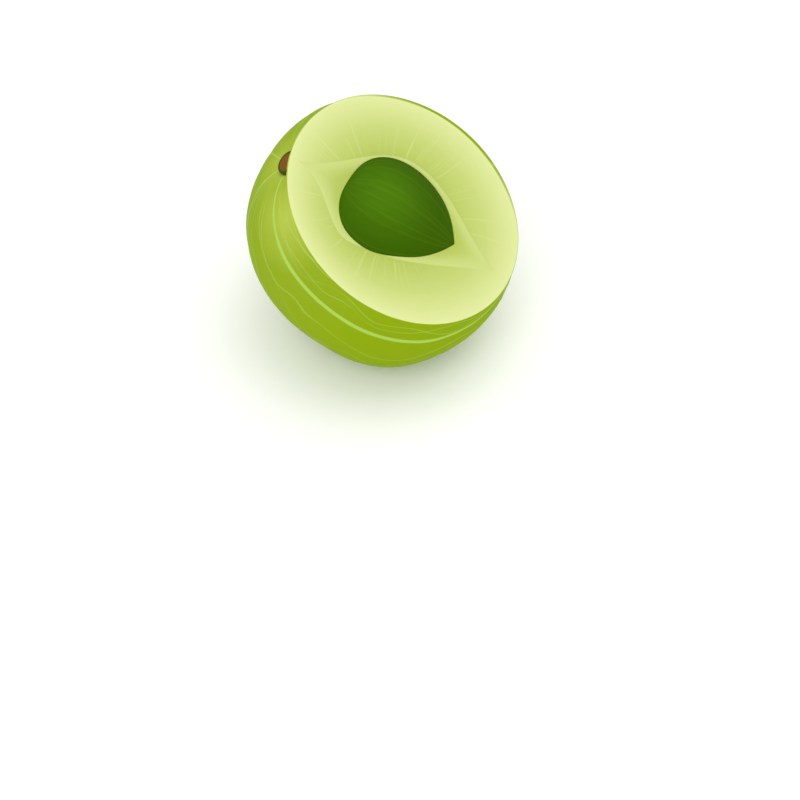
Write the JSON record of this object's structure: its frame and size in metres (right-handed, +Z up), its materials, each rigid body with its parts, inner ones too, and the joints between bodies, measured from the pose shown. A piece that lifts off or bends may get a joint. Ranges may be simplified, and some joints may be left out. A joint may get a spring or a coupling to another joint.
{
  "type": "indian gooseberry cut open",
  "caption": "Indian gooseberry with one cheek cut off, showing its pale flesh and dark stone, lying on a small flat spot.",
  "frame": {"origin": "middle of the small flat spot that the fruit rests on", "axes": "+Z up, away from the surface that it rests on; the cut face looks up and leans towards +X and a little towards -Y"},
  "size_m": [0.0353, 0.0349, 0.0307],
  "materials": {
    "fruit": "smooth waxy green skin with moist pale green flesh on the cut face",
    "fruit_stone": "hard dark green stone with faint ribs",
    "stalk_cork": "dry brown cork"
  },
  "bodies": {
    "root": {"half_fruit": "fruit", "stone": "fruit_stone", "stem_scar": "stalk_cork"}
  },
  "joints": []
}
